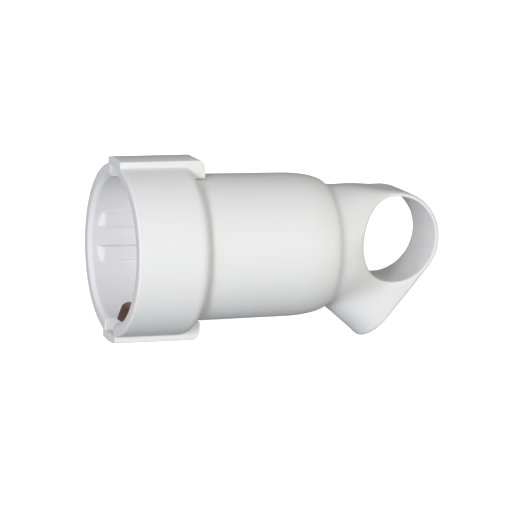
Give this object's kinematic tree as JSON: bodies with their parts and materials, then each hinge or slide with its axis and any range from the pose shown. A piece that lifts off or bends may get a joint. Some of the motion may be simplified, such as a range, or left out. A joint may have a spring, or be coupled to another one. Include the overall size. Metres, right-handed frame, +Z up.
{
  "type": "inline socket connector",
  "caption": "Round inline socket for a two-pin plug with side earth clips, with a barrel, an oblique cable outlet and a finger ring for pulling it off.",
  "frame": {"origin": "centre of the bounding box, on the surface that the connector lies on", "axes": "+X runs from the mouth to the handle, level; +Z up; the connector lies on its side as it comes to rest, on the cup's shoulder, the barrel's end and the cable outlet"},
  "size_m": [0.0946, 0.0484, 0.0481],
  "materials": {
    "white_moulding": "satin white moulded plastic",
    "carrier_plastic": "plain insulating plastic, off-white",
    "contact_brass": "stamped brass",
    "spring_steel": "blue-grey spring steel",
    "earth_bronze": "brown tarnished spring bronze",
    "screw_steel": "zinc-plated steel"
  },
  "bodies": {
    "root": {"socket_cup": "white_moulding", "handle_body": "white_moulding", "contact_carrier": "carrier_plastic", "carrier_cover": "carrier_plastic", "line_contact": "contact_brass", "neutral_contact": "contact_brass", "line_grip_spring": "spring_steel", "neutral_grip_spring": "spring_steel", "line_terminal_screw": "screw_steel", "neutral_terminal_screw": "screw_steel", "earth_strap": "earth_bronze", "earth_nut": "screw_steel", "earth_washer": "screw_steel", "earth_terminal_screw": "screw_steel", "assembly_screw": "screw_steel", "assembly_nut": "screw_steel", "cord_clamp_bar": "carrier_plastic", "cord_clamp_screw_left": "screw_steel", "cord_clamp_screw_right": "screw_steel", "cover_screw_left": "screw_steel", "cover_screw_right": "screw_steel"}
  },
  "joints": []
}
